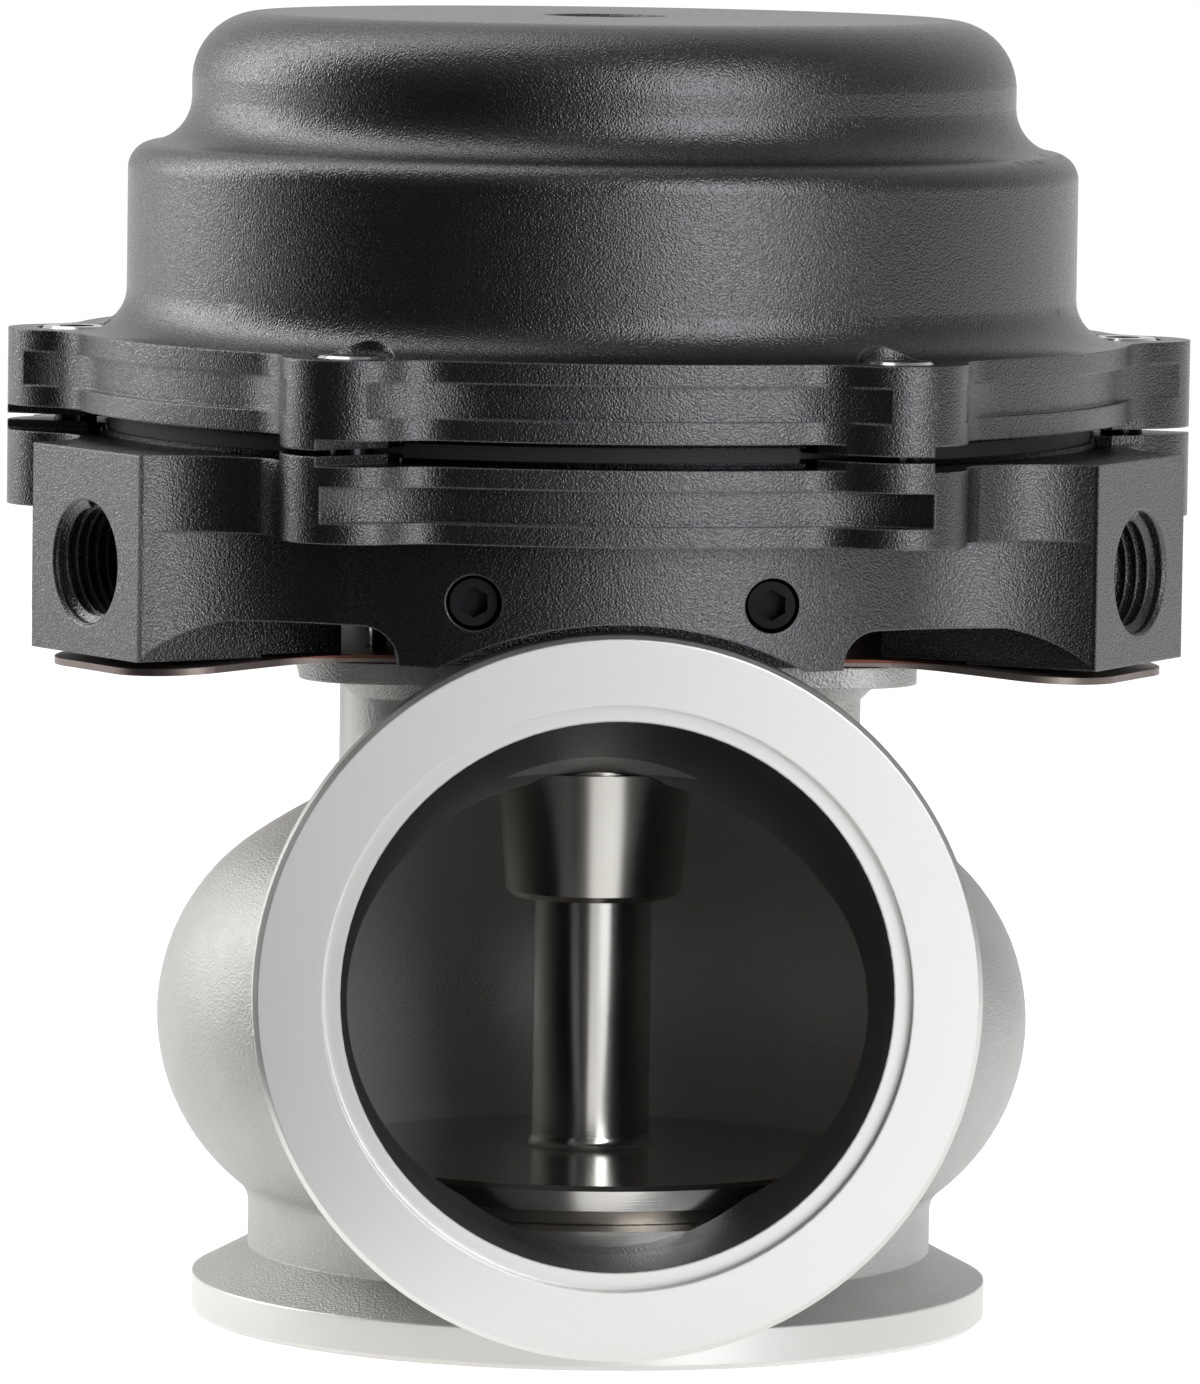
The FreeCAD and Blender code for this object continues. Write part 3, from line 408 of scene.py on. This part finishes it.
def makeAnodised(look):
    material, tree, shader = newMaterial("blackAnodised", {"Specular IOR Level": look["specular"]})
    x, y, z = objectPlace(tree)[1:]
    grain = useGroup(tree, grainGroup, Grain_Size=look["grainSize"], Swell_Size=look["swellSize"])
    # Lighter edges, partly real wear and partly a painted highlight: the bevel's normal leaves the
    # flat one only beside an edge, and the grain breaks the line up
    edge = bevelNormal(tree, look["edgeRadius"])
    flat = placeNode(tree, "ShaderNodeNewGeometry").outputs["Normal"]
    worn = mathNode(tree, "SUBTRACT", 1.0, vectorNode(tree, "DOT_PRODUCT", "Value", edge, flat))
    worn = mathNode(tree, "MULTIPLY", worn, look["wornSharpness"])
    worn = mathNode(tree, "MULTIPLY", worn, grain["Shade"], clamp=True)
    black = mixColour(tree, grain["Shade"], look["dark"], look["light"])
    tree.links.new(mixColour(tree, worn, black, look["worn"]), shader.inputs["Base Color"])
    tree.links.new(mixNumber(tree, grain["Shade"], *look["roughness"]), shader.inputs["Roughness"])
    # Painted shade: deep in the seam between the flanges the surface is made a dead black, with hardly
    # a reflection
    seam = look["seam"]
    inSeamShade = mathNode(tree, "LESS_THAN", distanceFromAxis(tree, x, y), seam["radius"])
    inSeamShade = allOf(tree, inSeamShade, between(tree, z, seam["low"], seam["high"]))
    tree.links.new(inSeamShade, shader.inputs["Metallic"])
    linkBump(tree, shader, grain["Height"], look["grainDepth"], edge)
    return material


castSteel = {
    "dark": (0.38, 0.373, 0.36, 1.0),
    "light": (0.60, 0.59, 0.57, 1.0),
    "roughness": 0.52,
    "metallic": 0.8,
    "grainSize": 0.22 * mm,
    "swellSize": 6.0 * mm,
    "grainDepth": 0.085 * mm,
    "edgeRadius": 0.2 * mm,
}
machinedRims = {
    "colour": (0.69, 0.677, 0.655, 1.0),
    "roughness": 0.38,
    "inletHeight": 3.25 * mm,
    "outletHeight": 3.05 * mm,
    "boreEdge": 0.1 * mm,  # the face starts this far outside the outlet's bore
    "markWidth": 0.05 * mm,
    "markDepth": 0.0015 * mm,
}
# Painted shade inside the chamber and the outlet duct: near black at the outlet's mouth, lighter
# deeper in
paintedInnerShade = {
    "colour": (0.52, 0.50, 0.47, 1.0),
    "mouthColour": (0.035, 0.033, 0.031, 1.0),  # blacker from here towards the mouth
    "mouthStart": -24.0 * mm,
    "mouthEnd": 14.0 * mm,
    "roughness": 0.42,
    "metallic": 0.35,
    "chamberMiddle": (0.0, 0.0, 24.8 * mm),
    "chamberRadius": 34.0 * mm,
    "chamberRoof": 45.6 * mm,
    "neck": {"radius": 27.5 * mm, "top": 6.5 * mm},  # outside of the inlet neck, which is left out of the painted shade
    "ductStart": 1.3 * mm,  # behind the outlet's face, past its register
    "ductEnd": -12.0 * mm,
    "ductWall": 0.05 * mm,
}


def rimMasks(tree, fromOutlet, y, z, look):
    outlet = mathNode(tree, "LESS_THAN", y, outletFaceY + look["outletHeight"])
    face = mathNode(tree, "GREATER_THAN", fromOutlet, outletBoreRadius + look["boreEdge"])
    return allOf(tree, outlet, face), mathNode(tree, "LESS_THAN", z, look["inletHeight"])


def innerShadeMask(tree, coordinates, fromOutlet, fromStem, y, z, look):
    # Where the shade is painted: the walls that face the middle of the chamber, and the duct behind
    # its register
    offset = vectorNode(tree, "SUBTRACT", "Vector", coordinates["Object"], look["chamberMiddle"])
    facing = vectorNode(tree, "DOT_PRODUCT", "Value", coordinates["Normal"], offset)
    outside = mathNode(tree, "GREATER_THAN", fromStem, look["neck"]["radius"])
    neck = allOf(tree, outside, mathNode(tree, "LESS_THAN", z, look["neck"]["top"]))
    chamber = allOf(
        tree,
        mathNode(tree, "LESS_THAN", facing, 0.0),
        mathNode(tree, "LESS_THAN", fromStem, look["chamberRadius"]),
        mathNode(tree, "LESS_THAN", z, look["chamberRoof"]),
        mathNode(tree, "SUBTRACT", 1.0, neck),
    )
    wall = mathNode(tree, "LESS_THAN", fromOutlet, outletBoreRadius + look["ductWall"])
    duct = allOf(tree, wall, between(tree, y, outletFaceY + look["ductStart"], look["ductEnd"]))
    return mathNode(tree, "MAXIMUM", chamber, duct)


def makeCastSteel(cast, rims, paintedInnerShade):
    material, tree, shader = newMaterial("castSteel", {})
    coordinates, x, y, z = objectPlace(tree)
    fromOutlet = distanceFromAxis(tree, x, mathNode(tree, "SUBTRACT", z, outletZ))
    fromStem = distanceFromAxis(tree, x, y)
    outletRim, inletRim = rimMasks(tree, fromOutlet, y, z, rims)
    machined = mathNode(tree, "MAXIMUM", outletRim, inletRim)
    inInnerShade = innerShadeMask(tree, coordinates.outputs, fromOutlet, fromStem, y, z, paintedInnerShade)
    grain = useGroup(tree, grainGroup, Grain_Size=cast["grainSize"], Swell_Size=cast["swellSize"])
    colour = mixColour(tree, grain["Shade"], cast["dark"], cast["light"])
    colour = mixColour(tree, machined, colour, rims["colour"])
    # Painted shade: the inner walls go near black towards the outlet's mouth
    inward = mapRange(tree, y, paintedInnerShade["mouthStart"], paintedInnerShade["mouthEnd"], interpolation_type="SMOOTHSTEP")
    black = mixColour(tree, inward, paintedInnerShade["mouthColour"], paintedInnerShade["colour"])
    tree.links.new(mixColour(tree, inInnerShade, colour, black), shader.inputs["Base Color"])
    roughness = mixNumber(tree, machined, cast["roughness"], rims["roughness"])
    tree.links.new(mixNumber(tree, inInnerShade, roughness, paintedInnerShade["roughness"]), shader.inputs["Roughness"])
    metallic = mixNumber(tree, machined, cast["metallic"], 1.0)
    tree.links.new(mixNumber(tree, inInnerShade, metallic, paintedInnerShade["metallic"]), shader.inputs["Metallic"])
    distance = mixNumber(tree, inletRim, fromOutlet, mathNode(tree, "ADD", fromStem, z))
    marks = useGroup(tree, turnedGroup, Distance=distance, Mark_Width=rims["markWidth"])
    height = mixNumber(tree, machined, grain["Height"], marks["Height"])
    depth = mixNumber(tree, machined, cast["grainDepth"], rims["markDepth"])
    linkBump(tree, shader, height, depth, bevelNormal(tree, cast["edgeRadius"]))
    return material


turnedSteel = {
    "dark": (0.50, 0.48, 0.45, 1.0),
    "light": (0.66, 0.64, 0.61, 1.0),
    "roughness": 0.2,
    "roughnessSpread": 0.2,
    "smearScale": 120.0,
    "smearDetail": 4.0,
    "markWidth": 0.12 * mm,
    "markDepth": 0.002 * mm,
}


def makeTurned(name, look):
    material, tree, shader = newMaterial(name, {"Metallic": 1.0})
    coordinates, x, y, z = objectPlace(tree)
    fromStem = distanceFromAxis(tree, x, y)
    along = mathNode(tree, "ADD", fromStem, z)
    marks = useGroup(tree, turnedGroup, Distance=along, Mark_Width=look["markWidth"])
    smear = noise(tree, coordinates.outputs["Object"], look["smearScale"], look["smearDetail"])
    colour = mixColour(tree, smear, look["dark"], look["light"])
    if "oiled" in look:
        # Painted shade: the shanks in the clamp flanges are darkened where they sit in shade, their
        # heads are left bright
        outer = mathNode(tree, "GREATER_THAN", fromStem, look["oiledBeyond"])
        shank = allOf(tree, outer, mathNode(tree, "LESS_THAN", z, look["oiledBelow"]))
        colour = mixColour(tree, shank, colour, look["oiled"])
    tree.links.new(colour, shader.inputs["Base Color"])
    low, high = [look["roughness"] * (1 + side * look["roughnessSpread"]) for side in (-1, 1)]
    tree.links.new(mixNumber(tree, smear, low, high), shader.inputs["Roughness"])
    linkBump(tree, shader, marks["Height"], look["markDepth"])
    return material


guideBronze = dict(
    turnedSteel, dark=(0.50, 0.48, 0.44, 1.0), light=(0.64, 0.62, 0.58, 1.0), roughness=0.24,
)
brightScrew = dict(
    turnedSteel, dark=(0.60, 0.59, 0.57, 1.0), light=(0.74, 0.73, 0.71, 1.0), roughness=0.18,
    # painted shade on the screw shanks inside the clamp flanges
    oiled=(0.022, 0.022, 0.024, 1.0), oiledBeyond=36.0 * mm, oiledBelow=80.0 * mm,
)
springWire = dict(
    turnedSteel, dark=(0.20, 0.20, 0.21, 1.0), light=(0.32, 0.32, 0.33, 1.0), roughness=0.32,
)
bareAluminium = dict(
    turnedSteel, dark=(0.70, 0.70, 0.71, 1.0), light=(0.80, 0.80, 0.81, 1.0), roughness=0.26,
)
blackScrew = dict(
    turnedSteel, dark=(0.010, 0.010, 0.011, 1.0), light=(0.022, 0.022, 0.024, 1.0), roughness=0.38,
)

shieldSheet = {
    "steel": (0.26, 0.22, 0.20, 1.0),
    "smear": (0.15, 0.12, 0.11, 1.0),
    "smearScale": 300.0,
    "smearDetail": 3.0,
    "smearDepth": 0.004 * mm,
    "tint": (0.14, 0.055, 0.035, 1.0),
    "tintHeight": 0.27 * mm,
    "metallic": 0.9,
    "roughness": 0.38,
}


def makeShieldSheet(look):
    # A brown oxide line runs along the upper edge of the sheet
    constants = {"Metallic": look["metallic"], "Roughness": look["roughness"]}
    material, tree, shader = newMaterial("shieldSheet", constants)
    coordinates, x, y, z = objectPlace(tree)
    low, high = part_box("heat_shield")
    smear = noise(tree, coordinates.outputs["Object"], look["smearScale"], look["smearDetail"])
    steel = mixColour(tree, smear, look["steel"], look["smear"])
    tinted = mathNode(tree, "GREATER_THAN", z, high.z - look["tintHeight"])
    tree.links.new(mixColour(tree, tinted, steel, look["tint"]), shader.inputs["Base Color"])
    linkBump(tree, shader, smear, look["smearDepth"])
    return material


softBlack = {
    "dark": (0.012, 0.012, 0.012, 1.0),
    "light": (0.030, 0.030, 0.030, 1.0),
    "roughness": 0.62,
    "grainSize": 0.5 * mm,
    "swellSize": 4.0 * mm,
    "grainDepth": 0.02 * mm,
}
gasketFibre = dict(softBlack, dark=(0.10, 0.06, 0.05, 1.0), light=(0.18, 0.11, 0.09, 1.0))


def makeSoft(name, look):
    material, tree, shader = newMaterial(name, {"Roughness": look["roughness"]})
    grain = useGroup(tree, grainGroup, Grain_Size=look["grainSize"], Swell_Size=look["swellSize"])
    colour = mixColour(tree, grain["Shade"], look["dark"], look["light"])
    tree.links.new(colour, shader.inputs["Base Color"])
    linkBump(tree, shader, grain["Height"], look["grainDepth"])
    return material


materials = {
    "black_anodised": makeAnodised(anodised),
    "cast_steel": makeCastSteel(castSteel, machinedRims, paintedInnerShade),
    "machined_steel": makeTurned("turnedSteel", turnedSteel),
    "guide_bronze": makeTurned("guideBronze", guideBronze),
    "bright_screw": makeTurned("brightScrew", brightScrew),
    "spring_steel": makeTurned("springWire", springWire),
    "plain_aluminium": makeTurned("bareAluminium", bareAluminium),
    "black_steel": makeTurned("blackScrew", blackScrew),
    "shield_steel": makeShieldSheet(shieldSheet),
    "seal_rubber": makeSoft("sealRubber", softBlack),
    "gasket": makeSoft("gasketFibre", gasketFibre),
}

for part in frame["record"]["subparts"]:
    node = nodes[part["node"]]
    for index in range(len(node.data.materials)):
        node.data.materials[index] = materials[part["material_slot"]]

print("stage: port threads")

pipeThread = {
    "pitch": 0.94 * mm,
    "tooth": 0.62 * mm,
    "crest": 0.12 * mm,
    "root": 0.05 * mm,  # sunk into the wall of the bore
    "flank": 0.49,  # of the pitch, to either side of the crest
    "stepsPerTurn": 48,
    "mouthGap": 0.62 * mm,
    "endGap": 0.5 * mm,
}


weldDistance = 0.0001 * mm


def finishMesh(name, bm, material):
    bmesh.ops.remove_doubles(bm, verts=bm.verts, dist=weldDistance)
    bmesh.ops.recalc_face_normals(bm, faces=bm.faces)
    mesh = bpy.data.meshes.new(name)
    bm.to_mesh(mesh)
    bm.free()
    mesh.materials.append(material)
    piece = bpy.data.objects.new(name, mesh)
    bpy.context.scene.collection.objects.link(piece)
    return piece


def closeEnds(bm):
    rims = [edge for edge in bm.edges if edge.is_boundary]
    bmesh.ops.holes_fill(bm, edges=rims, sides=0)


def addThread(name, mount, look, faceAhead, material):
    radius = mount["dims"]["r_mm"] * mm
    length = mount["dims"]["length_mm"] * mm - look["mouthGap"] - look["endGap"]
    turns = length / look["pitch"]
    half = look["pitch"] * look["flank"]
    bm = bmesh.new()
    outline = [
        (radius + look["root"], half),
        (radius - look["tooth"], look["crest"] / 2),
        (radius - look["tooth"], -look["crest"] / 2),
        (radius + look["root"], -half),
    ]
    profile = [bm.verts.new((r, 0.0, z)) for r, z in outline]
    bm.faces.new(profile)
    steps = int(look["stepsPerTurn"] * turns)
    rise = Vector((0, 0, -look["pitch"] / look["stepsPerTurn"]))
    bmesh.ops.spin(
        bm, geom=bm.verts[:] + bm.edges[:] + bm.faces[:], cent=(0, 0, 0), axis=(0, 0, 1),
        dvec=rise, angle=math.tau * steps / look["stepsPerTurn"], steps=steps, use_duplicate=False,
    )
    closeEnds(bm)
    axis = Vector(mount["axis"])
    # The thread starts at the top of the mouth
    turn = axis.to_track_quat("Z", "Y").to_matrix().to_4x4()
    turn = turn @ Matrix.Rotation(math.pi / 2, 4, "Z")
    shift = Matrix.Translation(Vector(mount["pos_m"]) + axis * (faceAhead - look["mouthGap"]))
    bmesh.ops.transform(bm, verts=bm.verts, matrix=shift @ turn)
    piece = finishMesh(name, bm, material)
    piece.data.polygons.foreach_set("use_smooth", [False] * len(piece.data.polygons))
    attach(piece, "housing")
    return piece


threadPieces = {
    "threadFrontRight": {"port": "port_front_right", "faceAhead": 3.0 * mm},
    "threadRearRight": {"port": "port_rear_right", "faceAhead": 3.0 * mm},
    "threadRearLeft": {"port": "port_rear_left", "faceAhead": 3.0 * mm},
    "threadFrontLeft": {"port": "port_front_left", "faceAhead": 3.0 * mm},
    "threadTop": {"port": "top_port", "faceAhead": 3.5 * mm},
}
for threadName, threadPlace in threadPieces.items():
    mount = mounts[threadPlace["port"]]
    addThread(threadName, mount, pipeThread, threadPlace["faceAhead"], materials["black_anodised"])

print("stage: springs")

coils = {
    "outerCoil": {"node": "outer_spring", "wire": 4.0 * mm, "liveTurns": 3.4, "ground": 1.0 * mm},
    "innerCoil": {"node": "inner_spring", "wire": 3.2 * mm, "liveTurns": 4.6, "ground": 0.8 * mm},
}
coilMesh = {"deadTurns": 0.9, "deadPitch": 1.02, "sides": 14, "stepsPerTurn": 64}


def addCoil(name, look, mesh, material):
    # Closed ends, ground flat, on a wire of even pitch
    low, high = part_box(look["node"])
    wire = look["wire"]
    middle = (high.x - low.x - wire) / 2
    deadRise = mesh["deadTurns"] * mesh["deadPitch"] * wire
    liveRise = high.z - low.z - wire + 2 * look["ground"] - 2 * deadRise
    start = Matrix.Translation((middle, 0, low.z + wire / 2 - look["ground"]))
    start = start @ Matrix.Rotation(math.pi / 2, 4, "X")
    bm = bmesh.new()
    bmesh.ops.create_circle(bm, segments=mesh["sides"], radius=wire / 2, matrix=start)
    section = bm.verts[:] + bm.edges[:]
    dead = (mesh["deadTurns"], deadRise)
    for turns, rise in (dead, (look["liveTurns"], liveRise), dead):
        steps = round(turns * mesh["stepsPerTurn"])
        made = bmesh.ops.spin(
            bm, geom=section, cent=(0, 0, 0), axis=(0, 0, 1), dvec=(0, 0, rise / steps),
            angle=math.tau * turns, steps=steps, use_duplicate=False,
        )
        section = made["geom_last"]
    closeEnds(bm)
    for vert in bm.verts:
        vert.co.z = min(max(vert.co.z, low.z), high.z)
    piece = finishMesh(name, bm, material)
    piece.data.shade_smooth()
    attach(piece, "housing")
    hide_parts(look["node"])
    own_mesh(piece)


for coilName, coilLook in coils.items():
    addCoil(coilName, coilLook, coilMesh, materials["spring_steel"])

print("stage: diaphragm")

rolledDiaphragm = {
    "thickness": 1.2 * mm,
    "holeRadius": 4.2 * mm,
    "rollInner": 28.7 * mm,
    "rollOuter": 35.1 * mm,
    "rollSteps": 20,
    "turnSteps": 128,
    "sharpAngle": 40.0,
}


def addDiaphragm(name, look, material):
    # Clamped rim, one smooth roll down to the piston plates
    low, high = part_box("diaphragm")
    half = look["thickness"] / 2
    plateZ = low.z + half
    rimZ = high.z - half
    middle = [(look["holeRadius"], plateZ)]
    for step in range(look["rollSteps"] + 1):
        share = step / look["rollSteps"]
        climb = (1 - math.cos(math.pi * share)) / 2
        radius = look["rollInner"] + (look["rollOuter"] - look["rollInner"]) * share
        middle.append((radius, plateZ + (rimZ - plateZ) * climb))
    middle.append((high.x, rimZ))
    outline = [(r, z + half) for r, z in middle] + [(r, z - half) for r, z in reversed(middle)]
    bm = bmesh.new()
    ring = [bm.verts.new((r, 0.0, z)) for r, z in outline]
    edges = [bm.edges.new((ring[k - 1], ring[k])) for k in range(len(ring))]
    bmesh.ops.spin(
        bm, geom=ring + edges, cent=(0, 0, 0), axis=(0, 0, 1), dvec=(0, 0, 0),
        angle=math.tau, steps=look["turnSteps"], use_merge=True, use_duplicate=False,
    )
    piece = finishMesh(name, bm, material)
    piece.data.shade_smooth()
    piece.data.set_sharp_from_angle(angle=math.radians(look["sharpAngle"]))
    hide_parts("diaphragm")
    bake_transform(piece)


addDiaphragm("rolledDiaphragm", rolledDiaphragm, materials["seal_rubber"])
